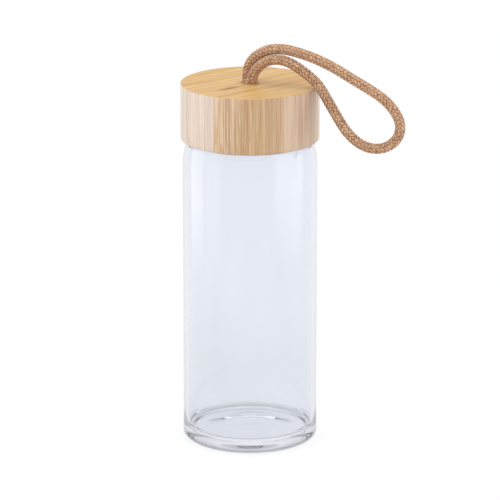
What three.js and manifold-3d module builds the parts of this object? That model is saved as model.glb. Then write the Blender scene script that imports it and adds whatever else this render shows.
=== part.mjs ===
// A wide glass water bottle with a bamboo screw cap and a cord loop to carry it by.
// Millimetres, +Z up. The origin is the centre of the base, on the surface it stands on.
// The loop lies over the cap's rim towards +X.

import * as THREE from "three";
import { mergeVertices } from "three/addons/utils/BufferGeometryUtils.js";
import Module from "manifold-3d";

// Overall sizes.
const TOTAL_HEIGHT = 175;
const CAP_HEIGHT = 27;
const CAP_RADIUS = 33;
const GAP = 0.3;
const SEGMENTS = 48;

// The glass: body, shoulder, neck and rim.
const GLASS_RADIUS = 32.2;
const WALL = 2.1;
const FLOOR = 4.8;
const BASE_CORNER = 2.2;
const FOOT_INNER_RADIUS = 21;
const FOOT_HOLLOW = 1.2;
const FLOOR_CORNER = 4;
const SHOULDER_START = 133;
const SHOULDER_RISE = 16.8;
const SHOULDER_REACH = 4.4;
const INNER_SHOULDER_START = 131.5;
const INNER_SHOULDER_RISE = 15.3;
const SHOULDER_STEP = 0.5;
const NECK_RADIUS = 27;
const NECK_BORE_RADIUS = 24.6;
const RIM_HEIGHT = 159;
const RIM_ROUND = 0.8;

// The screw thread. Its helix rises one pitch for each turn.
const PITCH = 4;
const THREAD_START = 152.2;
const NECK_THREAD_TURNS = 1.2;
const NECK_THREAD_DEPTH = 1.05;
const LINER_THREAD_FROM_TURN = 0.25;
const LINER_THREAD_TURNS = 1;
const LINER_THREAD_DEPTH = 1.15;
const THREAD_ROOT = 0.5;

// The cap, from its outside inwards.
const VENEER_THICKNESS = 0.8;
const CAP_BORE_RADIUS = 30.2;
const CAP_BORE_TOP = 163.2;
const POCKET_RADIUS = 9.2;
const POCKET_TOP = 171.4;
const CORD_HOLE_RADIUS = 4.2;
const CAP_CHAMFER = 0.5;
const VENEER_CHAMFER = 0.4;
const LINER_WALL = 1.4;
const LINER_WEB = 1.5;
const SEAL_THICKNESS = 1.8;
const SEAL_BORE_RADIUS = 24.8;

// The cord. Its route runs from the hole, out over the top, round the loop and back
// under itself, over the cap's rim. Heights are above the cap's top face.
const CORD_DIAMETER = 4.8;
const CORD_SIDES = 10;
const CORD_STEPS = 44;
const KNOT_RADIUS = 8.4;
const CORD_ROUTE = [
  [-1.9, 1.75, 0.5],
  [-1.95, 1.75, 2.6],
  [-1.75, 1.7, 5.8],
  [-0.6, 1.65, 9.0],
  [1.4, 1.6, 11.6],
  [4.4, 1.5, 14.0],
  [8.2, 1.4, 16.0],
  [12.5, 1.3, 17.0],
  [17.0, 1.2, 17.2],
  [22.0, 1.1, 16.6],
  [28.5, 1.0, 15.3],
  [35.5, 0.85, 13.2],
  [43.0, 0.7, 10.2],
  [51.0, 0.5, 6.3],
  [64.5, 0.25, -0.4],
  [69.3, 0.2, -3.9],
  [73.0, 0.1, -8.0],
  [75.2, 0.05, -12.4],
  [75.3, 0.0, -17.0],
  [73.2, 0.0, -21.3],
  [69.3, 0.0, -24.5],
  [64.5, 0.0, -26.1],
  [59.5, 0.0, -25.9],
  [55.0, 0.0, -24.2],
  [51.0, -0.1, -21.3],
  [47.6, -0.1, -17.6],
  [44.6, -0.2, -13.2],
  [40.6, -0.3, -6.9],
  [36.3, -0.4, -0.2],
  [33.8, -0.5, 2.85],
  [30.9, -0.6, 5.3],
  [26.8, -0.7, 8.1],
  [22.0, -0.85, 10.8],
  [17.5, -1.0, 12.3],
  [13.0, -1.1, 12.4],
  [8.8, -1.25, 11.2],
  [5.3, -1.4, 8.7],
  [2.8, -1.6, 5.4],
  [1.9, -1.7, 2.6],
  [1.8, -1.7, 0.5],
];

// Heights that follow from the sizes above.
const CAP_BASE = TOTAL_HEIGHT - CAP_HEIGHT;
const VENEER_BASE = TOTAL_HEIGHT - VENEER_THICKNESS;
const SHELL_TOP = VENEER_BASE - GAP;
const SHOULDER_TOP = SHOULDER_START + SHOULDER_RISE;
const SEAL_BASE = RIM_HEIGHT + GAP;
const WEB_BASE = SEAL_BASE + SEAL_THICKNESS + GAP;
const LINER_TOP = WEB_BASE + LINER_WEB;
const LINER_BASE = SHOULDER_TOP + GAP;
const LINER_RADIUS = CAP_BORE_RADIUS - GAP;
const LINER_BORE_RADIUS = LINER_RADIUS - LINER_WALL;

const wasm = await Module();
wasm.setup();

// Turns a closed geometry into a manifold-3d solid.
function toSolid(geometry) {
  const bare = geometry.clone();
  bare.deleteAttribute("normal");
  bare.deleteAttribute("uv");
  const merged = mergeVertices(bare, 1e-4);
  return new wasm.Manifold(
    new wasm.Mesh({
      numProp: 3,
      vertProperties: new Float32Array(merged.attributes.position.array),
      triVerts: new Uint32Array(merged.index.array),
    }),
  );
}

// Turns a manifold-3d solid back into a geometry.
function toGeometry(solid) {
  const mesh = solid.getMesh();
  const geometry = new THREE.BufferGeometry();
  geometry.setAttribute("position", new THREE.BufferAttribute(mesh.vertProperties, 3));
  geometry.setIndex(new THREE.BufferAttribute(mesh.triVerts, 1));
  geometry.computeVertexNormals();
  return geometry;
}

// Turns [radius, height] pairs about the Z axis, with the material on the path's left.
function lathe(profile) {
  const points = profile.map(([radius, height]) => new THREE.Vector2(radius, height));
  return new THREE.LatheGeometry(points, SEGMENTS).rotateX(Math.PI / 2);
}

// Points of an elliptical arc in a lathe profile, with angles in degrees from +radius.
function arc(centre, radii, from, to, steps) {
  return Array.from({ length: steps + 1 }, (_, step) => {
    const angle = THREE.MathUtils.degToRad(from + ((to - from) * step) / steps);
    return [centre[0] + radii[0] * Math.cos(angle), centre[1] + radii[1] * Math.sin(angle)];
  });
}

// A helix about the Z axis whose section keeps its first axis pointing outwards.
class Helix extends THREE.Curve {
  constructor(radius, fromTurn, turns, startHeight) {
    super();
    Object.assign(this, { radius, fromTurn, turns, startHeight });
  }

  angleAt(share) {
    return 2 * Math.PI * (this.fromTurn + this.turns * share);
  }

  getPoint(share, target = new THREE.Vector3()) {
    const angle = this.angleAt(share);
    const height = this.startHeight + (PITCH * angle) / (2 * Math.PI);
    return target.set(this.radius * Math.cos(angle), this.radius * Math.sin(angle), height);
  }

  computeFrenetFrames(steps) {
    const frames = { tangents: [], normals: [], binormals: [] };
    for (let step = 0; step <= steps; step += 1) {
      const angle = this.angleAt(step / steps);
      const normal = new THREE.Vector3(Math.cos(angle), Math.sin(angle), 0);
      const tangent = this.getTangent(step / steps);
      frames.tangents.push(tangent);
      frames.normals.push(normal);
      frames.binormals.push(new THREE.Vector3().crossVectors(tangent, normal));
    }
    return frames;
  }
}

// A thread ridge: a tapered section from its root inside the wall to its crest.
function threadRidge(helix, rootOffset, crestOffset, rootHalfWidth, crestHalfWidth) {
  const corners = [
    new THREE.Vector2(rootOffset, -rootHalfWidth),
    new THREE.Vector2(crestOffset, -crestHalfWidth),
    new THREE.Vector2(crestOffset, crestHalfWidth),
    new THREE.Vector2(rootOffset, rootHalfWidth),
  ];
  const section = new THREE.Shape(corners);
  const steps = Math.round(SEGMENTS * helix.turns);
  return new THREE.ExtrudeGeometry(section, { steps, extrudePath: helix, bevelEnabled: false });
}

function material(color, roughness, extra = {}) {
  return new THREE.MeshStandardMaterial({ color, roughness, metalness: 0, ...extra });
}

const glass = material(0xe4e9f0, 0.04, { transparent: true, opacity: 0.35 });
const silicone = material(0xe6e4de, 0.5);
const polypropylene = material(0xeeece4, 0.35);
const bambooSide = material(0xd3b083, 0.5);
const bambooTop = material(0xd6b47c, 0.48);
const cordCotton = material(0xb38a66, 0.9);

function namedMesh(name, geometry, itsMaterial) {
  const mesh = new THREE.Mesh(geometry, itsMaterial);
  mesh.name = name;
  return mesh;
}

// The bottle is one piece of glass, with a hollow foot and a threaded neck.
function glassBody() {
  const innerRadius = GLASS_RADIUS - WALL;
  const innerReach = innerRadius - NECK_BORE_RADIUS - SHOULDER_STEP;
  const cornerCentre = [GLASS_RADIUS - BASE_CORNER, BASE_CORNER];
  const shoulderCentre = [GLASS_RADIUS - SHOULDER_REACH, SHOULDER_START];
  const outerRim = [NECK_RADIUS - RIM_ROUND, RIM_HEIGHT - RIM_ROUND];
  const innerRim = [NECK_BORE_RADIUS + RIM_ROUND, RIM_HEIGHT - RIM_ROUND];
  const innerShoulder = [innerRadius - innerReach, INNER_SHOULDER_START];
  const floorCentre = [innerRadius - FLOOR_CORNER, FLOOR + FLOOR_CORNER];
  const profile = [
    [0, FOOT_HOLLOW],
    [FOOT_INNER_RADIUS - 3, FOOT_HOLLOW * 0.6],
    [FOOT_INNER_RADIUS, 0],
    ...arc(cornerCentre, [BASE_CORNER, BASE_CORNER], -90, 0, 3),
    ...arc(shoulderCentre, [SHOULDER_REACH, SHOULDER_RISE], 0, 90, 7),
    [NECK_RADIUS, SHOULDER_TOP],
    ...arc(outerRim, [RIM_ROUND, RIM_ROUND], 0, 90, 2),
    ...arc(innerRim, [RIM_ROUND, RIM_ROUND], 90, 180, 2),
    [NECK_BORE_RADIUS, INNER_SHOULDER_START + INNER_SHOULDER_RISE],
    ...arc(innerShoulder, [innerReach, INNER_SHOULDER_RISE], 90, 0, 6),
    ...arc(floorCentre, [FLOOR_CORNER, FLOOR_CORNER], 0, -90, 3),
    [0, FLOOR],
  ];
  const helix = new Helix(NECK_RADIUS, 0, NECK_THREAD_TURNS, THREAD_START);
  const ridge = threadRidge(helix, -THREAD_ROOT, NECK_THREAD_DEPTH, 1.1, 0.5);
  return toGeometry(toSolid(lathe(profile)).add(toSolid(ridge)));
}

// The silicone ring between the rim and the liner's web.
function sealingRing() {
  const outerRadius = LINER_BORE_RADIUS - GAP;
  const top = SEAL_BASE + SEAL_THICKNESS;
  return lathe([
    [SEAL_BORE_RADIUS, SEAL_BASE],
    [outerRadius, SEAL_BASE],
    [outerRadius, top],
    [SEAL_BORE_RADIUS, top],
    [SEAL_BORE_RADIUS, SEAL_BASE],
  ]);
}

// The moulded liner: a shallow cup, open downwards, with the female thread.
function threadLiner() {
  const cup = lathe([
    [0, WEB_BASE],
    [LINER_BORE_RADIUS, WEB_BASE],
    [LINER_BORE_RADIUS, LINER_BASE],
    [LINER_RADIUS, LINER_BASE],
    [LINER_RADIUS, LINER_TOP],
    [0, LINER_TOP],
  ]);
  const start = THREAD_START - PITCH / 2;
  const helix = new Helix(LINER_BORE_RADIUS, LINER_THREAD_FROM_TURN, LINER_THREAD_TURNS, start);
  const ridge = threadRidge(helix, THREAD_ROOT, -LINER_THREAD_DEPTH, 0.75, 0.4);
  return toGeometry(toSolid(cup).add(toSolid(ridge)));
}

// The turned bamboo cup: a bore for the liner, a pocket for the knot, a hole for the cord.
function capShell() {
  return lathe([
    [CAP_BORE_RADIUS, CAP_BASE],
    [CAP_RADIUS - CAP_CHAMFER, CAP_BASE],
    [CAP_RADIUS, CAP_BASE + CAP_CHAMFER],
    [CAP_RADIUS, SHELL_TOP],
    [CORD_HOLE_RADIUS, SHELL_TOP],
    [CORD_HOLE_RADIUS, POCKET_TOP],
    [POCKET_RADIUS, POCKET_TOP],
    [POCKET_RADIUS, CAP_BORE_TOP],
    [CAP_BORE_RADIUS, CAP_BORE_TOP],
    [CAP_BORE_RADIUS, CAP_BASE],
  ]);
}

// The long-grain bamboo disc that faces the top of the cap.
function topVeneer() {
  return lathe([
    [CORD_HOLE_RADIUS, VENEER_BASE],
    [CAP_RADIUS, VENEER_BASE],
    [CAP_RADIUS, TOTAL_HEIGHT - VENEER_CHAMFER],
    [CAP_RADIUS - VENEER_CHAMFER, TOTAL_HEIGHT],
    [CORD_HOLE_RADIUS, TOTAL_HEIGHT],
    [CORD_HOLE_RADIUS, VENEER_BASE],
  ]);
}

// The knot in its pocket, with the cord's two tails filling the hole above it.
function cordKnot() {
  const base = LINER_TOP + 2 * GAP;
  const top = POCKET_TOP - 2 * GAP;
  const middle = (base + top) / 2;
  const neckRadius = CORD_HOLE_RADIUS - GAP;
  const neckAngle = THREE.MathUtils.radToDeg(Math.acos(neckRadius / KNOT_RADIUS));
  return lathe([
    ...arc([0, middle], [KNOT_RADIUS, top - middle], -90, neckAngle, 7),
    [neckRadius, TOTAL_HEIGHT],
    [0, TOTAL_HEIGHT],
  ]);
}

// The carrying loop, as a plain tube from the hole and back to it.
function carryCord() {
  const points = CORD_ROUTE.map(([x, y, z]) => new THREE.Vector3(x, y, z + TOTAL_HEIGHT));
  const corners = Array.from({ length: CORD_SIDES }, (_, side) => {
    const angle = (2 * Math.PI * side) / CORD_SIDES;
    return new THREE.Vector2(Math.cos(angle), Math.sin(angle)).multiplyScalar(CORD_DIAMETER / 2);
  });
  return new THREE.ExtrudeGeometry(new THREE.Shape(corners), {
    steps: CORD_STEPS,
    extrudePath: new THREE.CatmullRomCurve3(points, false, "centripetal"),
    bevelEnabled: false,
  });
}

const bottle = new THREE.Group();
const cap = new THREE.Group();
cap.add(
  namedMesh("sealing_ring", sealingRing(), silicone),
  namedMesh("thread_liner", threadLiner(), polypropylene),
  namedMesh("bamboo_cap_shell", capShell(), bambooSide),
  namedMesh("top_veneer", topVeneer(), bambooTop),
  namedMesh("cord_knot", cordKnot(), cordCotton),
  namedMesh("carry_cord", carryCord(), cordCotton),
);
bottle.add(namedMesh("glass_body", glassBody(), glass), cap);

export default bottle;
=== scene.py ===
"""A glass water bottle with a bamboo screw cap and a braided cord loop.

Metres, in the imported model's frame: +Z up, the origin at the centre of the base, and the
loop over the cap's rim towards +X. Each visible piece replaces its CAD node.
"""

import math

import bpy
import numpy as np
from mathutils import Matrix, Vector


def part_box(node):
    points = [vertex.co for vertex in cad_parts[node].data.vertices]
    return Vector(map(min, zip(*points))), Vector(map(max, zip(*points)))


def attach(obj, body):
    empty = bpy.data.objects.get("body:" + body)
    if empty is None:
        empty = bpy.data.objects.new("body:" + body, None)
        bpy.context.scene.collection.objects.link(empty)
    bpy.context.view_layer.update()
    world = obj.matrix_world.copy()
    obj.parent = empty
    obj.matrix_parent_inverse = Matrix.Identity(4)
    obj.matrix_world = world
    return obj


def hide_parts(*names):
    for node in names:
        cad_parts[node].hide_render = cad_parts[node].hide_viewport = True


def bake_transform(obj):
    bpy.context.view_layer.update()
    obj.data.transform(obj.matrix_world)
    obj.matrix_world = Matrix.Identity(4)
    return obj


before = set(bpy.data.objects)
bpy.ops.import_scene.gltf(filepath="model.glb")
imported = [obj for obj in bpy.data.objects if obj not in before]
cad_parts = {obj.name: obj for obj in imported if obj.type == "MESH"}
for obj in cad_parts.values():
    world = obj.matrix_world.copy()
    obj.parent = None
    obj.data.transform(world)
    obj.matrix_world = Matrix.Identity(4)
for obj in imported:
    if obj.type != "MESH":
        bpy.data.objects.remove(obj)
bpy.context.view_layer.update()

MM = 0.001

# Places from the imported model.
GLASS_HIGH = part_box("glass_body")[1]
SHELL_LOW, SHELL_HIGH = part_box("bamboo_cap_shell")
VENEER_LOW, VENEER_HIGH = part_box("top_veneer")
LINER_LOW, LINER_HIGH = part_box("thread_liner")
SEAL_LOW, SEAL_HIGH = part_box("sealing_ring")
KNOT_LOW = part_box("cord_knot")[0]

CAP_RADIUS = SHELL_HIGH[0]
CAP_BASE = SHELL_LOW[2]
CAP_TOP = VENEER_HIGH[2]
VENEER_BASE = VENEER_LOW[2]
GLASS_RADIUS = GLASS_HIGH[0]
RIM_HEIGHT = GLASS_HIGH[2]
LINER_RADIUS = LINER_HIGH[0]

# The view: how far round from -Y, how far off and how high the camera stands, how far it
# looks down, how far it sees, and its lens and sensor in millimetres.
VIEW_AZIMUTH = math.radians(22)
VIEW_DISTANCE = 1.584
VIEW_HEIGHT = 0.5609
VIEW_PITCH = math.radians(16.476)
VIEW_REACH = 50
VIEW_LENS = 248.15
SENSOR_WIDTH = 36

# The glass, as in the CAD model. The shoulder is a quarter of an ellipse, outside and inside.
# The hollow under the base is given as radii and heights in millimetres.
WALL = 2.1 * MM
FLOOR_THICKNESS = 4.8 * MM
NECK_RADIUS = 27 * MM
NECK_BORE_RADIUS = 24.6 * MM
SHOULDER_START = 133 * MM
SHOULDER_RISE = 16.8 * MM
SHOULDER_REACH = 4.4 * MM
INNER_SHOULDER_START = 131.5 * MM
INNER_SHOULDER_RISE = 15.3 * MM
FOOT_ROUNDING = 2.6 * MM
BASE_HOLLOW = [
    (0, 1.1),
    (8, 1.0),
    (14, 0.68),
    (18.5, 0.28),
    (21.6, 0.06),
    (23.5, 0),
    (28.5, 0),
]
NECK_STEP = 0.5 * MM
RIM_ROUNDING = 0.9 * MM
INNER_FLOOR_ROUNDING = 5 * MM

# The thread on the neck and in the liner. Each ridge is widest at its root.
THREAD_PITCH = 4 * MM
THREAD_START = 152.2 * MM
NECK_THREAD_TURNS = 1.2
NECK_THREAD_DEPTH = 1.05 * MM
NECK_THREAD_ROOT = 1.1 * MM
NECK_THREAD_CREST = 0.5 * MM
LINER_THREAD_FIRST_TURN = 0.25
LINER_THREAD_TURNS = 1
LINER_THREAD_DEPTH = 1.15 * MM
LINER_THREAD_ROOT = 0.75 * MM
LINER_THREAD_CREST = 0.4 * MM
THREAD_RUN_OUT = 0.1

# The cap's hollows, its liner and its seal.
CAP_BORE_RADIUS = 30.2 * MM
CAP_BORE_TOP = 163.2 * MM
POCKET_RADIUS = 9.2 * MM
POCKET_TOP = 171.4 * MM
HOLE_RADIUS = 4.2 * MM
LINER_WALL = 1.4 * MM
LINER_WEB = 1.5 * MM
SEAL_BORE_RADIUS = 24.8 * MM
SEAL_GROOVE_DEPTH = 0.35 * MM
SEAL_GROOVE_HALF_WIDTH = 0.7 * MM

# How many sides a turned piece has round the axis.
CAP_SEGMENTS = 240
THREADED_SEGMENTS = 192
SEAL_SEGMENTS = 160

# The cord: its diameter, and its route from the hole and back to it, in millimetres with
# heights above the cap's top face, as in the CAD model.
CORD_DIAMETER = 4.8 * MM
CORD_ROUTE = [
    (-1.9, 1.75, 0.5),
    (-1.95, 1.75, 2.6),
    (-1.75, 1.7, 5.8),
    (-0.6, 1.65, 9.0),
    (1.4, 1.6, 11.6),
    (4.4, 1.5, 14.0),
    (8.2, 1.4, 16.0),
    (12.5, 1.3, 17.0),
    (17.0, 1.2, 17.2),
    (22.0, 1.1, 16.6),
    (28.5, 1.0, 15.3),
    (35.5, 0.85, 13.2),
    (43.0, 0.7, 10.2),
    (51.0, 0.5, 6.3),
    (64.5, 0.25, -0.4),
    (69.3, 0.2, -3.9),
    (73.0, 0.1, -8.0),
    (75.2, 0.05, -12.4),
    (75.3, 0.0, -17.0),
    (73.2, 0.0, -21.3),
    (69.3, 0.0, -24.5),
    (64.5, 0.0, -26.1),
    (59.5, 0.0, -25.9),
    (55.0, 0.0, -24.2),
    (51.0, -0.1, -21.3),
    (47.6, -0.1, -17.6),
    (44.6, -0.2, -13.2),
    (40.6, -0.3, -6.9),
    (36.3, -0.4, -0.2),
    (33.8, -0.5, 2.85),
    (30.9, -0.6, 5.3),
    (26.8, -0.7, 8.1),
    (22.0, -0.85, 10.8),
    (17.5, -1.0, 12.3),
    (13.0, -1.1, 12.4),
    (8.8, -1.25, 11.2),
    (5.3, -1.4, 8.7),
    (2.8, -1.6, 5.4),
    (1.9, -1.7, 2.6),
    (1.8, -1.7, 0.5),
]


# ---------------------------------------------------------------- camera

def make_camera():
    """The camera, at the height and distance that give the view its perspective."""
    data = bpy.data.cameras.new("camera")
    data.lens = VIEW_LENS
    data.sensor_width = SENSOR_WIDTH
    data.clip_end = VIEW_REACH
    camera = bpy.data.objects.new("camera", data)
    camera.location = (
        VIEW_DISTANCE * math.sin(VIEW_AZIMUTH),
        -VIEW_DISTANCE * math.cos(VIEW_AZIMUTH),
        VIEW_HEIGHT,
    )
    camera.rotation_euler = (math.pi / 2 - VIEW_PITCH, 0, VIEW_AZIMUTH)
    bpy.context.scene.collection.objects.link(camera)
    bpy.context.scene.camera = camera


# ---------------------------------------------------------------- mesh helpers

# Faces that meet at more than this angle show an edge.
SHARP_ANGLE = math.radians(38)


def add_mesh(name, vertices, faces, material):
    """A smooth-shaded object made from points and faces."""
    mesh = bpy.data.meshes.new(name)
    mesh.from_pydata(vertices, [], faces)
    mesh.update()
    mesh.polygons.foreach_set("use_smooth", np.ones(len(mesh.polygons), dtype=bool))
    mesh.materials.append(material)
    piece = bpy.data.objects.new(name, mesh)
    bpy.context.scene.collection.objects.link(piece)
    return piece


def grid_faces(rows, columns, wrap_rows):
    """Quads of a grid of points whose columns wrap round, numbered row by row."""
    row, column = np.meshgrid(
        np.arange(rows if wrap_rows else rows - 1), np.arange(columns), indexing="ij"
    )
    below = (row % rows) * columns
    above = ((row + 1) % rows) * columns
    beside = (column + 1) % columns
    quads = np.stack([below + column, below + beside, above + beside, above + column], -1)
    return quads.reshape(-1, 4).tolist()


def capped_faces(rows, columns):
    """The grid's quads, and a fan at each end round one more vertex: first, then last."""
    faces = grid_faces(rows, columns, False)
    first = rows * columns
    last_row = first - columns
    for k in range(columns):
        after = (k + 1) % columns
        faces.append([first, after, k])
        faces.append([first + 1, last_row + k, last_row + after])
    return faces


def fillet(corner, before, after, radius, steps=6):
    """Points of an arc that rounds a corner of a profile."""
    corner, before, after = (np.array(p, float) for p in (corner, before, after))
    to_before = (before - corner) / np.linalg.norm(before - corner)
    to_after = (after - corner) / np.linalg.norm(after - corner)
    half = math.acos(np.clip(to_before @ to_after, -1, 1)) / 2
    reach = radius / math.tan(half)
    middle = (to_before + to_after) / np.linalg.norm(to_before + to_after)
    centre = corner + middle * radius / math.sin(half)
    start = corner + to_before * reach - centre
    end = corner + to_after * reach - centre
    swing = math.acos(np.clip(start @ end / radius**2, -1, 1))
    shares = np.linspace(0, 1, steps + 1)
    return [
        tuple(centre + (math.sin((1 - t) * swing) * start + math.sin(t * swing) * end)
              / math.sin(swing))
        for t in shares
    ]


def rounded_profile(corners, closed):
    """corners is [(radius, height, rounding)]. Returns the profile's points."""
    points = []
    count = len(corners)
    for i, (r, z, rounding) in enumerate(corners):
        ends = not closed and i in (0, count - 1)
        if rounding and not ends:
            before = corners[i - 1][:2]
            after = corners[(i + 1) % count][:2]
            points += fillet((r, z), before, after, rounding)
        else:
            points.append((r, z))
    return points


def densify(points, step, closed):
    """Adds points so that no stretch of the profile is longer than step."""
    dense = []
    pairs = list(zip(points, points[1:] + (points[:1] if closed else [])))
    for (r0, z0), (r1, z1) in pairs:
        parts = max(1, math.ceil(math.hypot(r1 - r0, z1 - z0) / step))
        dense += [(r0 + (r1 - r0) * k / parts, z0 + (z1 - z0) * k / parts)
                  for k in range(parts)]
    return dense if closed else dense + [points[-1]]


def ellipse_arc(centre, radii, start, end, steps):
    """Points of an elliptical arc in a profile, with angles in degrees."""
    angles = np.radians(np.linspace(start, end, steps + 1))
    return [(centre[0] + radii[0] * math.cos(a), centre[1] + radii[1] * math.sin(a))
            for a in angles]


def turned(name, profile, material, segments, closed=True, shape=None):
    """A solid of revolution about Z, with its sharper corners shaded as edges."""
    piece = revolved(name, profile, material, segments, closed, shape)
    piece.data.set_sharp_from_angle(angle=SHARP_ANGLE)
    return piece


def revolved(name, profile, material, segments, closed, shape):
    """The profile spun about Z. shape(radius, height, angle) may move its points. A closed
    profile is a ring. An open one starts and ends on the axis."""
    angle = np.linspace(0, 2 * math.pi, segments, endpoint=False)
    r = np.array([p[0] for p in profile])[:, None] * np.ones(segments)
    z = np.array([p[1] for p in profile])[:, None] * np.ones(segments)
    if shape:
        r, z = shape(r, z, np.broadcast_to(angle, r.shape))
    points = np.stack([r * np.cos(angle), r * np.sin(angle), z], -1)
    if closed:
        faces = grid_faces(len(profile), segments, True)
        return add_mesh(name, points.reshape(-1, 3).tolist(), faces, material)
    # The first and last points are on the axis, so each is one vertex with a fan round it.
    middle = points[1:-1]
    vertices = middle.reshape(-1, 3).tolist() + [points[0, 0].tolist(), points[-1, 0].tolist()]
    return add_mesh(name, vertices, capped_faces(len(middle), segments), material)


def smoothstep(low, high, value):
    """0 below low, 1 above high, and a smooth rise between them."""
    t = np.clip((value - low) / (high - low), 0, 1)
    return t * t * (3 - 2 * t)


def helical_ridge(z, angle, start, first_turn, turns, root_half, crest_half):
    """How high a thread ridge stands at each point, from 0 to 1, with run-in and run-out.
    root_half and crest_half are half its width at its root and its crest."""
    height = np.zeros_like(z)
    for lap in range(int(first_turn), int(first_turn + turns) + 2):
        along = angle / (2 * math.pi) + lap
        away = np.abs(z - start - THREAD_PITCH * along)
        flank = 1 - smoothstep(crest_half, root_half, away)
        last_turn = first_turn + turns
        ends = smoothstep(first_turn, first_turn + THREAD_RUN_OUT, along)
        ends = ends * (1 - smoothstep(last_turn - THREAD_RUN_OUT, last_turn, along))
        height = np.maximum(height, flank * ends)
    return height


# ---------------------------------------------------------------- material helpers

class Nodes:
    """A short way to build a node tree."""

    def __init__(self, name):
        self.material = bpy.data.materials.new(name)
        self.material.use_nodes = True
        self.tree = self.material.node_tree
        self.shader = self.tree.nodes["Principled BSDF"]

    def add(self, kind, inputs=None, **settings):
        """A new node. inputs is {socket: a value, or another node's output}."""
        node = self.tree.nodes.new("ShaderNode" + kind)
        for key, value in settings.items():
            setattr(node, key, value)
        for key, value in (inputs or {}).items():
            self.put(node.inputs[key], value)
        return node

    def put(self, socket, value):
        """Links an output to the socket, or sets the socket's own value."""
        if isinstance(value, bpy.types.NodeSocket):
            self.tree.links.new(value, socket)
        else:
            socket.default_value = value

    def math(self, operation, first, second=0.0):
        node = self.add("Math", {0: first, 1: second}, operation=operation)
        return node.outputs[0]

    def vector(self, operation, first, second):
        node = self.add("VectorMath", {0: first, 1: second}, operation=operation)
        return node.outputs[0]

    def weighted(self, *parts):
        """The sum of parts, each (value, weight)."""
        total = None
        for value, weight in parts:
            share = self.math("MULTIPLY", value, weight)
            total = share if total is None else self.math("ADD", total, share)
        return total

    def stretched(self, place, scales):
        """The place with its axes scaled, to draw a pattern out along one of them."""
        return self.vector("MULTIPLY", place, scales)

    def length(self, vector):
        node = self.add("VectorMath", {0: vector}, operation="LENGTH")
        return node.outputs["Value"]

    def noise(self, place, scale, detail=3.0, roughness=0.5, distortion=0.0):
        """Smooth noise from 0 to 1, with about scale lumps in a unit of place."""
        node = self.add("TexNoise", {
            "Vector": place, "Scale": scale, "Detail": detail,
            "Roughness": roughness, "Distortion": distortion,
        })
        return node.outputs["Fac"]

    def ramp(self, value, stops, interpolation="LINEAR"):
        """Colours along a value from 0 to 1. stops is [(position, (r, g, b))]."""
        node = self.add("ValToRGB", {"Fac": value})
        node.color_ramp.interpolation = interpolation
        elements = node.color_ramp.elements
        while len(elements) < len(stops):
            elements.new(0.5)
        for element, (position, colour) in zip(elements, stops):
            element.position = position
            element.color = (*colour, 1)
        return node.outputs["Color"]

    def spread(self, value, low, high, new_low=0.0, new_high=1.0):
        """The value's range from low to high, taken to new_low to new_high and held there."""
        node = self.add("MapRange", {
            "Value": value, "From Min": low, "From Max": high,
            "To Min": new_low, "To Max": new_high,
        })
        return node.outputs["Result"]

    def mix(self, factor, first, second, blend="MIX"):
        """Two colours mixed."""
        node = self.add("Mix", data_type="RGBA", blend_type=blend)
        self.put(node.inputs["Factor"], factor)
        self.put(node.inputs["A"], first)
        self.put(node.inputs["B"], second)
        return node.outputs["Result"]

    def bump(self, height, strength, distance):
        """Gives the surface a relief. distance is its height in metres."""
        node = self.add("Bump", {"Height": height, "Strength": strength, "Distance": distance})
        self.tree.links.new(node.outputs["Normal"], self.shader.inputs["Normal"])

    def set(self, **values):
        """Sets the surface shader's sockets, by name with _ for each space."""
        for key, value in values.items():
            self.put(self.shader.inputs[key.replace("_", " ")], value)

    def millimetres(self, attribute=None):
        """The place on the piece in millimetres, or a stored vector in millimetres."""
        if attribute:
            place = self.add("Attribute", attribute_name=attribute).outputs["Vector"]
        else:
            place = self.add("TexCoord").outputs["Object"]
        return self.vector("MULTIPLY", place, (1000, 1000, 1000))


def rgb(red, green, blue):
    """A display colour, 0 to 255, as linear values."""
    return tuple(
        (c / 255 / 12.92) if c <= 10 else ((c / 255 + 0.055) / 1.055) ** 2.4
        for c in (red, green, blue)
    )


# ---------------------------------------------------------------- materials

# Patterns are laid out in millimetres, so a noise scale of 2 is two lumps in a millimetre.

# The glued strips round the cap: where each starts in degrees from +X, its colour, and how
# strongly it is marked with short dashes.
STRIPS = [
    (-180, (222, 194, 160), 0.2),
    (-152, (216, 196, 180), 0.1),
    (-99.4, (221, 191, 155), 1.0),
    (-77, (214, 182, 140), 1.0),
    (-65.2, (208, 175, 130), 0.6),
    (-54.5, (193, 156, 114), 0.1),
    (-40.4, (198, 168, 138), 0.0),
    (8, (222, 192, 150), 0.5),
    (31, (208, 172, 128), 0.2),
    (52, (220, 192, 158), 0.0),
    (88, (202, 164, 120), 0.3),
    (101, (226, 196, 154), 1.0),
    (146, (214, 180, 140), 0.1),
]

# The top disc's grain, in degrees from +X, and the dark streak's middle and half size along
# and across the grain, in millimetres.
GRAIN_DIRECTION = 62
STREAK_PLACE = (-4.5, -15.0, 175)
STREAK_HALF_SIZE = (10, 2.3, 500)


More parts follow.
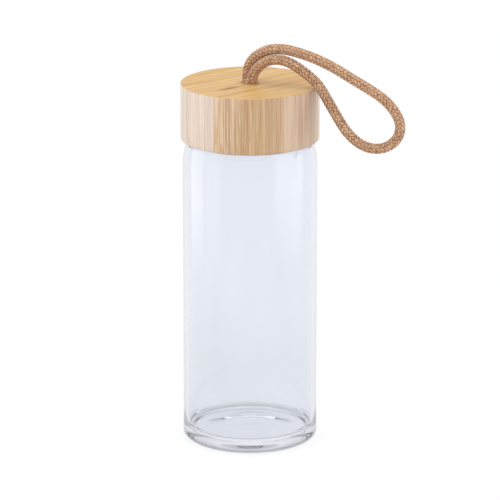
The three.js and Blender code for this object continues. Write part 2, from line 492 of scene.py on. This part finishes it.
def glass_material():
    """Clear soda glass with a faint cool tint that deepens in its thick base, and painted shade at
    its edges, on its lower wall and on the rounding of its foot.
    """
    made = Nodes("clear_glass")
    place = made.millimetres()
    height = made.add("SeparateXYZ", {"Vector": place}).outputs["Z"]
    from_axis = made.length(made.stretched(place, (1, 1, 0)))
    slow = made.noise(made.stretched(place, (1, 1, 0.35)), 0.05, 2, 0.4)
    tint = made.ramp(slow, [(0.3, (0.855, 0.875, 0.915)), (0.7, (0.885, 0.90, 0.94))])

    # Painted shade: the outer surface is darkened where it is seen edge on, most of all near the
    # base.
    facing = made.add("LayerWeight", {"Blend": 0.5}).outputs["Facing"]
    outside = made.spread(from_axis, 30.6, 31.6)
    painted_edge_shade = made.math("MULTIPLY", made.spread(facing, 0.60, 1.0), outside)
    painted_edge_tint = made.ramp(made.spread(height, 0, 150), [
        (0.1, (0.15, 0.17, 0.21)),
        (0.8, (0.29, 0.32, 0.40)),
    ])
    tint = made.mix(painted_edge_shade, tint, painted_edge_tint)

    # Painted shade: the lower wall is made a little greyer, and the rounding of the foot is
    # painted dark.
    low = made.ramp(made.spread(height, 0, 110), [
        (0.12, (1, 1, 1)),
        (0.26, (0.962, 0.966, 0.962)),
        (0.62, (1, 1, 1)),
    ])
    tint = made.mix(1.0, tint, low, "MULTIPLY")
    painted_foot_shade = made.math("MULTIPLY", made.spread(from_axis, 29.0, 31.0), made.spread(height, 5.0, 0.5))
    tint = made.mix(made.math("MULTIPLY", painted_foot_shade, 0.85), tint, (0.26, 0.27, 0.29, 1))

    made.bump(slow, 0.1, 0.0003)
    made.set(Base_Color=tint, Roughness=0.0, IOR=1.5, Transmission_Weight=1.0)
    made.set(Specular_Tint=(0.80, 0.82, 0.87, 1))
    thick = made.add("VolumeAbsorption", {"Color": (0.80, 0.81, 0.83, 1), "Density": 6.0})
    output = made.tree.nodes["Material Output"]
    made.tree.links.new(thick.outputs["Volume"], output.inputs["Volume"])
    return made.material


def around(made, place, strips):
    """A colour for each strip round the Z axis. strips is [(start in degrees, colour)]."""
    axes = made.add("SeparateXYZ", {"Vector": place}).outputs
    angle = made.math("ARCTAN2", axes["Y"], axes["X"])
    share = made.spread(angle, -math.pi, math.pi)
    stops = [((start + 180) / 360, colour) for start, colour in strips]
    return made.ramp(share, stops, "CONSTANT")


def bamboo_side_material():
    """Upright fibres in glued strips, turned and lacquered."""
    made = Nodes("bamboo_side")
    place = made.millimetres()
    tints = around(made, place, [(start, rgb(*tint)) for start, tint, marks in STRIPS])
    marked = around(made, place, [(start, (marks,) * 3) for start, tint, marks in STRIPS])
    # Each strip's colour moves its place in the noise, so the fibres end at the glue lines.
    own = made.vector("ADD", place, made.stretched(tints, (300, 300, 300)))
    fine = made.noise(made.stretched(own, (1, 1, 0.012)), 1.5, 3, 0.7)
    broad = made.noise(made.stretched(own, (1, 1, 0.02)), 0.35, 2, 0.5)
    hairs = made.noise(made.stretched(own, (1, 1, 0.01)), 5.0, 2, 0.7)
    dashes = made.noise(made.stretched(own, (1, 1, 0.07)), 0.95, 2, 0.6, 0.5)
    dash = made.math("MULTIPLY", made.spread(dashes, 0.50, 0.60), marked)
    lines = made.noise(made.stretched(own, (1, 1, 0.006)), 1.3, 1, 0.5)
    line = made.spread(lines, 0.58, 0.66)
    tone = made.weighted((fine, 0.6), (broad, 0.2), (hairs, 0.2))
    shade = made.ramp(tone, [
        (0.38, rgb(200, 180, 160)),
        (0.46, rgb(232, 222, 210)),
        (0.53, rgb(248, 246, 242)),
        (0.60, rgb(255, 255, 255)),
    ])
    colour = made.mix(1.0, tints, shade, "MULTIPLY")
    colour = made.mix(made.math("MULTIPLY", dash, 0.55), colour, (*rgb(184, 134, 78), 1))
    colour = made.mix(made.math("MULTIPLY", line, 0.45), colour, (*rgb(160, 112, 72), 1))
    rough = made.spread(fine, 0.3, 0.7, 0.50, 0.38)
    relief = made.math("ADD", fine, hairs)
    relief = made.math("SUBTRACT", relief, made.math("MULTIPLY", dash, 0.4))
    made.bump(relief, 0.35, 0.00012)
    made.set(Base_Color=colour, Roughness=rough, Coat_Weight=0.8, Coat_Roughness=0.42)
    made.set(Sheen_Weight=0.3, Sheen_Roughness=0.35)
    return made.material


def bamboo_top_material():
    """Long grain across the disc, with one dark streak where the cane had a node."""
    made = Nodes("bamboo_top")
    place = made.millimetres()
    turn = {"Rotation": (0, 0, -math.radians(GRAIN_DIRECTION))}
    along = made.add("Mapping", {"Vector": place, **turn}).outputs["Vector"]
    bent = made.noise(made.stretched(along, (0.03, 0.06, 1)), 1.0, 1)
    sway = made.add("CombineXYZ", {"Y": made.math("MULTIPLY", bent, 3.0)}).outputs[0]
    along = made.vector("ADD", along, sway)
    fine = made.noise(made.stretched(along, (0.03, 1, 1)), 1.3, 4, 0.65, 0.1)
    broad = made.noise(made.stretched(along, (0.02, 1, 1)), 0.30, 2, 0.5, 0.2)
    hairs = made.noise(made.stretched(along, (0.02, 1, 1)), 5.0, 2, 0.7)
    tone = made.weighted((fine, 0.5), (broad, 0.35), (hairs, 0.15))
    colour = made.ramp(tone, [
        (0.33, rgb(176, 126, 66)),
        (0.45, rgb(199, 155, 93)),
        (0.55, rgb(210, 171, 110)),
        (0.66, rgb(222, 190, 134)),
    ])
    from_streak = made.vector("SUBTRACT", place, STREAK_PLACE)
    streak_axes = made.add("Mapping", {"Vector": from_streak, **turn}).outputs["Vector"]
    reach = made.length(made.vector("DIVIDE", streak_axes, STREAK_HALF_SIZE))
    ragged = made.noise(made.stretched(along, (0.2, 1.2, 1)), 1.0, 2)
    streak = made.spread(made.math("ADD", reach, ragged), 1.5, 0.7)
    colour = made.mix(made.math("MULTIPLY", streak, 0.9), colour, (*rgb(132, 76, 38), 1))
    rough = made.spread(fine, 0.3, 0.7, 0.5, 0.4)
    made.bump(made.math("ADD", fine, hairs), 0.25, 0.0001)
    made.set(Base_Color=colour, Roughness=rough, Specular_IOR_Level=0.25)
    return made.material


def cord_material():
    """Heather yarn: tan and brown flecks, with painted shade in the hollows of the braid."""
    made = Nodes("cord_cotton")
    place = made.millimetres("cord_place")
    height = made.add("Attribute", attribute_name="cord_height").outputs["Fac"]
    flecks = made.noise(place, 0.75, 2, 0.6)
    fibres = made.noise(place, 5.0, 3, 0.7)
    colour = made.ramp(made.weighted((flecks, 0.6), (fibres, 0.4)), [
        (0.36, rgb(156, 111, 82)),
        (0.46, rgb(188, 145, 111)),
        (0.54, rgb(206, 165, 129)),
        (0.64, rgb(225, 190, 152)),
    ])
    # Painted shade: where the braid's height is low, in its hollows, the yarn is darkened.
    shade = made.ramp(height, [
        (0.10, rgb(84, 58, 48)),
        (0.48, rgb(176, 152, 138)),
        (0.80, rgb(255, 255, 255)),
    ])
    colour = made.mix(1.0, colour, shade, "MULTIPLY")
    made.bump(fibres, 0.5, 0.0002)
    made.set(Base_Color=colour, Roughness=0.9, Sheen_Weight=0.15, Sheen_Roughness=0.5)
    return made.material


def plastic_material():
    """Natural polypropylene, faintly mottled as moulded."""
    made = Nodes("liner_plastic")
    place = made.millimetres()
    mottle = made.noise(place, 0.12, 2, 0.4)
    colour = made.ramp(mottle, [(0.3, rgb(236, 234, 227)), (0.7, rgb(241, 240, 234))])
    rough = made.spread(mottle, 0.3, 0.7, 0.32, 0.42)
    made.bump(made.noise(place, 7.0, 2, 0.5), 0.05, 0.00004)
    made.set(Base_Color=colour, Roughness=rough)
    made.set(Subsurface_Weight=0.15, Subsurface_Radius=(0.004, 0.004, 0.004))
    return made.material


def silicone_material():
    """Soft milky silicone with a fine matt skin."""
    made = Nodes("silicone")
    place = made.millimetres()
    mottle = made.noise(place, 0.6, 3, 0.5)
    colour = made.ramp(mottle, [(0.3, rgb(222, 220, 212)), (0.7, rgb(234, 233, 227))])
    made.bump(made.noise(place, 8.0, 2, 0.5), 0.12, 0.0001)
    made.set(Base_Color=colour, Roughness=made.spread(mottle, 0.3, 0.7, 0.5, 0.6))
    return made.material


# ---------------------------------------------------------------- the cord

# The braid: strands in each direction, yarns in a strand, the length of one whole turn, the
# relief from hollow to crest, and the share of it that lies inside the cord's radius.
BRAID_STRANDS = 8
YARNS_IN_STRAND = 4
BRAID_PITCH = 15 * MM
BRAID_RELIEF = 0.42 * MM
BRAID_LEVEL = 0.75

# The cord's mesh: points along it and round it, and how its centreline is drawn.
CORD_ROWS = 1020
CORD_COLUMNS = 96
STEPS_BETWEEN_POINTS = 24
SMOOTHING_PASSES = 60

# How far each end of the cord goes down the hole, in millimetres, how much nearer the hole's
# axis it lies there, and the room it leaves to the wall and to the other end.
TAIL_IN_HOLE = 3.2
TAIL_SQUEEZE = 0.93
HOLE_ROOM = 0.15 * MM
MIDDLE_ROOM = 0.12 * MM

# The cord is fully pressed this far below the hole's mouth and free this far above it, and
# it swells by a share of its radius in between.
PRESSED_BELOW = 0.8 * MM
FREE_ABOVE = 2.5 * MM
SWELL_SHARE = 0.08
SWELL_HEIGHT = 1.8 * MM
SWELL_SPREAD = 1.6 * MM

# The knot: the radius of its cord, its half width and height, and its ends' gap in radians.
KNOT_CORD_RADIUS = 2.1 * MM
KNOT_WIDTH = 3.1 * MM
KNOT_RISE = 1.75 * MM
KNOT_GAP = 0.35
KNOT_ROWS = 360


def cord_centreline():
    """The route in metres, carried down into the hole at both ends."""
    (x0, y0, _), (x1, y1, _) = CORD_ROUTE[0], CORD_ROUTE[-1]
    depths = (-TAIL_IN_HOLE, -TAIL_IN_HOLE / 2)
    down = [(x0 * TAIL_SQUEEZE, y0 * TAIL_SQUEEZE, depth) for depth in depths]
    up = [(x1 * TAIL_SQUEEZE, y1 * TAIL_SQUEEZE, depth) for depth in reversed(depths)]
    points = np.array(down + CORD_ROUTE + up) * MM
    return points + np.array([0, 0, CAP_TOP])


def evenly(curve, count):
    """The curve resampled evenly by length, and each new point's place along it."""
    length = np.concatenate([[0], np.cumsum(np.linalg.norm(np.diff(curve, axis=0), axis=1))])
    even = np.linspace(0, length[-1], count)
    return np.stack([np.interp(even, length, curve[:, k]) for k in range(3)], -1), even


def smooth_path(points, count):
    """A centripetal Catmull-Rom curve through the points, resampled evenly by length."""
    ends = [2 * points[0] - points[1], *points, 2 * points[-1] - points[-2]]
    pieces = []
    for p0, p1, p2, p3 in zip(ends, ends[1:], ends[2:], ends[3:]):
        t = np.cumsum([0] + [np.linalg.norm(b - a) ** 0.5
                             for a, b in ((p0, p1), (p1, p2), (p2, p3))])
        u = np.linspace(t[1], t[2], STEPS_BETWEEN_POINTS, endpoint=False)[:, None]
        a1 = (t[1] - u) / (t[1] - t[0]) * p0 + (u - t[0]) / (t[1] - t[0]) * p1
        a2 = (t[2] - u) / (t[2] - t[1]) * p1 + (u - t[1]) / (t[2] - t[1]) * p2
        a3 = (t[3] - u) / (t[3] - t[2]) * p2 + (u - t[2]) / (t[3] - t[2]) * p3
        b1 = (t[2] - u) / (t[2] - t[0]) * a1 + (u - t[0]) / (t[2] - t[0]) * a2
        b2 = (t[3] - u) / (t[3] - t[1]) * a2 + (u - t[1]) / (t[3] - t[1]) * a3
        pieces.append((t[2] - u) / (t[2] - t[1]) * b1 + (u - t[1]) / (t[2] - t[1]) * b2)
    curve = np.vstack([*pieces, points[-1:]])
    # A light smoothing takes out the small kinks between the given points.
    for _ in range(SMOOTHING_PASSES):
        curve[1:-1] = curve[1:-1] * 0.5 + (curve[:-2] + curve[2:]) * 0.25
    return evenly(curve, count)


def carried_frames(curve):
    """A normal and a binormal at each point, carried along without twist."""
    tangent = np.gradient(curve, axis=0)
    tangent /= np.linalg.norm(tangent, axis=1, keepdims=True)
    normal = np.empty_like(curve)
    current = np.array([0.0, 1.0, 0.0])
    for k, t in enumerate(tangent):
        current = current - t * (current @ t)
        current /= np.linalg.norm(current)
        normal[k] = current
    return normal, np.cross(tangent, normal)


def braid_height(along, angle):
    """Height of a two-over-two-under braid of round strands, from 0 to 1."""
    right = BRAID_STRANDS * (angle / (2 * math.pi) + along / BRAID_PITCH)
    left = BRAID_STRANDS * (angle / (2 * math.pi) - along / BRAID_PITCH)
    right_strand, left_strand = np.floor(right), np.floor(left)
    right_lift = np.clip(1.3 * np.sin(math.pi / 2 * (left + right_strand)), -1, 1)
    left_lift = np.clip(-1.3 * np.sin(math.pi / 2 * (right + left_strand)), -1, 1)
    right_round = np.sqrt(np.clip(1 - (2 * (right - right_strand) - 1) ** 2, 0, 1))
    left_round = np.sqrt(np.clip(1 - (2 * (left - left_strand) - 1) ** 2, 0, 1))
    right_top = 0.5 * right_lift + 0.55 * right_round
    left_top = 0.5 * left_lift + 0.55 * left_round
    # The strand on top shows its yarns, which lie side by side.
    yarns = np.where(right_top > left_top, right, left) * YARNS_IN_STRAND
    height = np.maximum(right_top, left_top) - 0.1 * (1 - np.abs(np.sin(math.pi * yarns)))
    return np.clip(height, 0, 1)


def braided_tube(name, curve, along, radius, material, reach=None):
    """A closed tube along a curve with the braid raised from it. reach(ring, along) may give
    how far the surface lies from the curve in each of the ring's directions."""
    normal, binormal = carried_frames(curve)
    angle = np.linspace(0, 2 * math.pi, CORD_COLUMNS, endpoint=False)
    s = np.broadcast_to(along[:, None], (len(along), CORD_COLUMNS))
    a = np.broadcast_to(angle, s.shape)
    height = braid_height(s, a)
    raised = BRAID_RELIEF * (height - BRAID_LEVEL)
    ring = np.cos(a)[..., None] * normal[:, None] + np.sin(a)[..., None] * binormal[:, None]
    out = reach(ring, along) if reach else np.full(s.shape, radius)
    points = curve[:, None] + ring * (out + raised)[..., None]
    vertices = np.vstack([points.reshape(-1, 3), curve[:1], curve[-1:]])
    piece = add_mesh(name, vertices.tolist(), capped_faces(len(curve), CORD_COLUMNS), material)
    # The material's pattern follows the yarn, so it is laid out along the straightened cord.
    place = np.stack([radius * np.cos(a), radius * np.sin(a), s], -1).reshape(-1, 3)
    place = np.vstack([place, [[0, 0, along[0]], [0, 0, along[-1]]]])
    store(piece, "cord_place", "FLOAT_VECTOR", "vector", place)
    store(piece, "cord_height", "FLOAT", "value", np.append(height.ravel(), [0.5, 0.5]))
    return piece


def store(piece, name, kind, field, values):
    """Keeps a value for each vertex, for the material to read."""
    attribute = piece.data.attributes.new(name, kind, "POINT")
    attribute.data.foreach_set(field, np.asarray(values, np.float32).ravel())


def make_cord(material):
    """The loop, which is one length of cord from the hole over the rim and back."""
    points = cord_centreline()
    curve, along = smooth_path(points, CORD_ROWS)
    apart = points[0] - points[-1]
    side = apart / np.linalg.norm(apart)
    offset = np.linalg.norm(apart) / 2
    tail = TAIL_IN_HOLE * MM

    def fill_the_hole(ring, along):
        """In the hole each strand is pressed to half the round, and it swells above it."""
        from_end = np.minimum(along, along[-1] - along)
        away = np.where(along < along[-1] / 2, 1.0, -1.0)[:, None] * (ring @ side)
        wall = HOLE_RADIUS - HOLE_ROOM
        to_wall = -offset * away + np.sqrt(offset**2 * (away**2 - 1) + wall**2)
        # Directions that lead away from the other strand have no middle to meet, so their
        # limit is far off.
        towards = np.maximum(-away, 0.05)
        to_middle = np.where(away < -0.05, (offset - MIDDLE_ROOM) / towards, 1.0)
        half_round = (to_wall**-8 + to_middle**-8) ** (-1 / 8)
        from_mouth = from_end - tail
        pressed = (1 - smoothstep(-PRESSED_BELOW, FREE_ABOVE, from_mouth))[:, None]
        swell = np.exp(-((from_mouth - SWELL_HEIGHT) / SWELL_SPREAD) ** 2)[:, None]
        free = CORD_DIAMETER / 2 * (1 + SWELL_SHARE * swell)
        return free * (1 - pressed) + half_round * pressed

    cord = braided_tube("carry_cord_braid", curve, along, CORD_DIAMETER / 2, material,
                        fill_the_hole)
    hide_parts("carry_cord")
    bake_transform(cord)


def make_knot(material):
    """The two tails in one flat overhand knot, pressed into the pocket."""
    low, high = KNOT_LOW[2] + 0.2 * MM, POCKET_TOP - 0.5 * MM
    turn = np.linspace(KNOT_GAP, 2 * math.pi - KNOT_GAP, 400)
    x = KNOT_WIDTH * (np.sin(turn) + 1.35 * np.sin(2 * turn)) * 0.78
    y = KNOT_WIDTH * (np.cos(turn) - 1.35 * np.cos(2 * turn)) * 0.78
    z = (low + high) / 2 - KNOT_RISE * np.sin(3 * turn)
    curve, along = evenly(np.stack([x, y, z], -1), KNOT_ROWS)
    piece = braided_tube("cord_knot_tails", curve, along, KNOT_CORD_RADIUS, material)
    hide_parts("cord_knot")
    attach(piece, "knot")


# ---------------------------------------------------------------- the glass

def make_glass(material):
    """The bottle: a straight body, a shoulder, a threaded neck and a slightly hollow base."""
    radius = GLASS_RADIUS
    inner = radius - WALL
    inner_reach = inner - NECK_BORE_RADIUS - NECK_STEP
    shoulder_top = SHOULDER_START + SHOULDER_RISE
    floor_corner = INNER_FLOOR_ROUNDING
    rim = RIM_ROUNDING
    base_hollow = [(r * MM, z * MM) for r, z in BASE_HOLLOW]
    outer = [
        *base_hollow,
        *ellipse_arc((29.6 * MM, FOOT_ROUNDING), (2.75 * MM, FOOT_ROUNDING), -90, 0, 12),
        (32.33 * MM, 6 * MM), (radius, 12 * MM),
        *ellipse_arc((radius - SHOULDER_REACH, SHOULDER_START),
                     (SHOULDER_REACH, SHOULDER_RISE), 0, 88, 40),
        *fillet((NECK_RADIUS, shoulder_top), (radius - SHOULDER_REACH, shoulder_top),
                (NECK_RADIUS, RIM_HEIGHT), NECK_STEP),
        *densify([(NECK_RADIUS, shoulder_top + 0.7 * MM), (NECK_RADIUS, RIM_HEIGHT - 1 * MM)],
                 0.2 * MM, closed=False),
        *ellipse_arc((NECK_RADIUS - rim, RIM_HEIGHT - rim), (rim, rim), 0, 90, 8),
    ]
    inside = [
        *ellipse_arc((NECK_BORE_RADIUS + rim, RIM_HEIGHT - rim), (rim, rim), 90, 180, 8),
        (NECK_BORE_RADIUS, INNER_SHOULDER_START + INNER_SHOULDER_RISE + 1 * MM),
        *ellipse_arc((inner - inner_reach, INNER_SHOULDER_START),
                     (inner_reach, INNER_SHOULDER_RISE), 84, 0, 40),
        *ellipse_arc((inner - floor_corner, FLOOR_THICKNESS + floor_corner),
                     (floor_corner, floor_corner), 0, -84, 16),
        (18 * MM, FLOOR_THICKNESS + 0.05 * MM),
        (0, FLOOR_THICKNESS + 0.5 * MM),
    ]
    profile = densify(outer + inside, 2.5 * MM, closed=False)

    def shape(r, z, angle):
        """Raises the thread from the neck."""
        ridge = helical_ridge(z, angle, THREAD_START, 0, NECK_THREAD_TURNS,
                              NECK_THREAD_ROOT, NECK_THREAD_CREST)
        on_neck = (z > shoulder_top) & (r > NECK_RADIUS - 0.1 * MM)
        return r + np.where(on_neck, ridge * NECK_THREAD_DEPTH, 0), z

    piece = turned("glass_bottle", profile, material, THREADED_SEGMENTS, closed=False,
                   shape=shape)
    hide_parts("glass_body")
    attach(piece, "bottle")


# ---------------------------------------------------------------- the cap

def make_shell(material):
    """The cap's turned bamboo cup, with the bore for the liner and the pocket for the knot."""
    top = VENEER_BASE
    corners = [
        (CAP_BORE_RADIUS, CAP_BASE, 0.4 * MM),
        (CAP_RADIUS, CAP_BASE, 0.7 * MM),
        (CAP_RADIUS, top, 0),
        (HOLE_RADIUS, top, 0),
        (HOLE_RADIUS, POCKET_TOP, 0.3 * MM),
        (POCKET_RADIUS, POCKET_TOP, 0.8 * MM),
        (POCKET_RADIUS, CAP_BORE_TOP, 0.4 * MM),
        (CAP_BORE_RADIUS, CAP_BORE_TOP, 0.4 * MM),
    ]
    profile = densify(rounded_profile(corners, True), 1.5 * MM, True)
    piece = turned("bamboo_cap", profile, material, CAP_SEGMENTS)
    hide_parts("bamboo_cap_shell")
    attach(piece, "cap")


def make_veneer(material, edge_material):
    """The top disc. Its edge was sanded with the cap's side and looks like it."""
    corners = [
        (HOLE_RADIUS, VENEER_BASE, 0),
        (CAP_RADIUS, VENEER_BASE, 0),
        (CAP_RADIUS, CAP_TOP, 0.45 * MM),
        (HOLE_RADIUS, CAP_TOP, 0.35 * MM),
    ]
    profile = densify(rounded_profile(corners, True), 1.5 * MM, True)
    piece = turned("bamboo_top_disc", profile, material, CAP_SEGMENTS)
    piece.data.materials.append(edge_material)
    for face in piece.data.polygons:
        outside = math.hypot(face.center[0], face.center[1]) > CAP_RADIUS - 0.3 * MM
        face.material_index = 1 if outside and abs(face.normal[2]) < 0.8 else 0
    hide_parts("top_veneer")
    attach(piece, "cap")


def make_liner(material):
    """The moulded liner in the cap, a cup with the female thread."""
    bore = LINER_RADIUS - LINER_WALL
    web = LINER_HIGH[2] - LINER_WEB
    outer = rounded_profile([
        (0, web, 0),
        (bore, web, 0.5 * MM),
        (bore, LINER_LOW[2], 0.3 * MM),
        (LINER_RADIUS, LINER_LOW[2], 0.4 * MM),
        (LINER_RADIUS, LINER_HIGH[2], 0.4 * MM),
        (0, LINER_HIGH[2], 0),
    ], False)
    profile = densify(outer, 0.6 * MM, False)

    def shape(r, z, angle):
        """Raises the female thread from the bore."""
        start = THREAD_START - THREAD_PITCH / 2
        ridge = helical_ridge(z, angle, start, LINER_THREAD_FIRST_TURN, LINER_THREAD_TURNS,
                              LINER_THREAD_ROOT, LINER_THREAD_CREST)
        in_bore = np.abs(r - bore) < 0.05 * MM
        return r - np.where(in_bore, ridge * LINER_THREAD_DEPTH, 0), z

    piece = turned("cap_liner", profile, material, THREADED_SEGMENTS, closed=False, shape=shape)
    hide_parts("thread_liner")
    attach(piece, "cap")


def make_seal(material):
    """The silicone ring between the rim and the liner, with a groove in its underside."""
    low, high = SEAL_LOW[2], SEAL_HIGH[2]
    inner, outer = SEAL_BORE_RADIUS, SEAL_HIGH[0]
    middle = (inner + outer) / 2
    corners = [
        (inner, low, 0.4 * MM),
        (middle - SEAL_GROOVE_HALF_WIDTH, low, 0.15 * MM),
        (middle, low + SEAL_GROOVE_DEPTH, 0.2 * MM),
        (middle + SEAL_GROOVE_HALF_WIDTH, low, 0.15 * MM),
        (outer, low, 0.4 * MM),
        (outer, high, 0.4 * MM),
        (inner, high, 0.4 * MM),
    ]
    profile = densify(rounded_profile(corners, True), 0.6 * MM, True)
    piece = turned("silicone_seal", profile, material, SEAL_SEGMENTS)
    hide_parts("sealing_ring")
    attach(piece, "seal_carrier")


# ---------------------------------------------------------------- stage and light

FLOOR_HALF_SIZE = 6.0
FLOOR_HEIGHT = -0.3 * MM

# How bright the world around the bottle is, on the panels' scale.
SURROUNDINGS = 1.0

# Glowing panels beside the bottle: how many degrees round from the view's side each stands,
# how far off, its width and height, the height of its foot, and how bright it is.
PANELS = [
    ("panel_left_wide", -80, 0.28, (0.40, 0.4), 0.0, 2.1),
    ("panel_left_narrow", -97, 0.26, (0.19, 0.35), 0.01, 2.8),
    ("panel_right_wide", 69, 0.28, (0.36, 0.4), 0.01, 2.9),
]

# The lamp above: its width, its height and its power in watts.
LAMP_SIZE = 1.0
LAMP_HEIGHT = 1.25
LAMP_POWER = 3.6


def make_floor():
    """A plain white floor, a little below the base so that the two don't coincide."""
    made = Nodes("studio_floor")
    made.set(Base_Color=(0.15, 0.15, 0.15, 1), Roughness=0.9, Specular_IOR_Level=0.0)
    made.set(Emission_Color=(1, 1, 1, 1), Emission_Strength=0.86)
    half = FLOOR_HALF_SIZE
    around_it = [(-half, -half), (half, -half), (half, half), (-half, half)]
    corners = [(x, y, FLOOR_HEIGHT) for x, y in around_it]
    floor = add_mesh("studio_floor", corners, [[0, 1, 2, 3]], made.material)


def soft_panel(name, azimuth, distance, size, low, radiance):
    """An upright glowing panel that faces the bottle and shows only in reflections. Its glow
    fades at its sides and foot to the brightness around it."""
    made = Nodes(name)
    place = made.add("TexCoord").outputs["Generated"]
    axes = made.add("SeparateXYZ", {"Vector": place}).outputs
    across = made.math("ABSOLUTE", made.math("SUBTRACT", axes["X"], 0.5))
    fade_at_foot = made.spread(axes["Z"], 0.0, 0.12)
    fade = made.math("MULTIPLY", made.spread(across, 0.5, 0.3), fade_at_foot)
    glow = made.math("MULTIPLY", fade, radiance - SURROUNDINGS)
    glow = made.math("ADD", glow, SURROUNDINGS)
    made.set(Base_Color=(0, 0, 0, 1), Specular_IOR_Level=0.0, Emission_Color=(1, 1, 1, 1))
    made.set(Emission_Strength=glow)
    half, high = size[0] / 2, size[1]
    corners = [(-half, 0, 0), (half, 0, 0), (half, 0, high), (-half, 0, high)]
    panel = add_mesh(name, corners, [[0, 1, 2, 3]], made.material)
    turn = VIEW_AZIMUTH + math.radians(azimuth)
    panel.location = (distance * math.sin(turn), -distance * math.cos(turn), low)
    panel.rotation_euler = (0, 0, turn)
    panel.visible_camera = False
    panel.visible_transmission = False
    panel.visible_diffuse = False
    panel.visible_shadow = False


def overhead_lamp():
    """A large soft lamp above, for the cap's top and the cord."""
    light = bpy.data.lights.new("overhead", "AREA")
    light.shape = "SQUARE"
    light.size = LAMP_SIZE
    light.energy = LAMP_POWER
    lamp = bpy.data.objects.new("overhead", light)
    lamp.location = (0, 0, LAMP_HEIGHT)
    bpy.context.scene.collection.objects.link(lamp)


def make_light():
    """Even white light from all round, the panels and the lamp."""
    world = bpy.data.worlds.new("studio")
    world.use_nodes = True
    back = world.node_tree.nodes["Background"]
    back.inputs["Color"].default_value = (0.98, 0.985, 1.0, 1)
    back.inputs["Strength"].default_value = 1.02
    bpy.context.scene.world = world
    for panel in PANELS:
        soft_panel(*panel)
    overhead_lamp()


def main():
    """The camera and the cord come first, then the other pieces, the floor and the light."""
    make_camera()
    cord_look = cord_material()
    make_cord(cord_look)
    make_knot(cord_look)
    make_glass(glass_material())
    side_look = bamboo_side_material()
    make_shell(side_look)
    make_veneer(bamboo_top_material(), side_look)
    make_liner(plastic_material())
    make_seal(silicone_material())
    make_floor()
    make_light()
    scene = bpy.context.scene
    scene.view_settings.view_transform = "Standard"
    # Light turned back inside the thick base counts as glossy, so both limits are high.
    scene.cycles.max_bounces = 32
    scene.cycles.transmission_bounces = 24
    scene.cycles.glossy_bounces = 24


main()
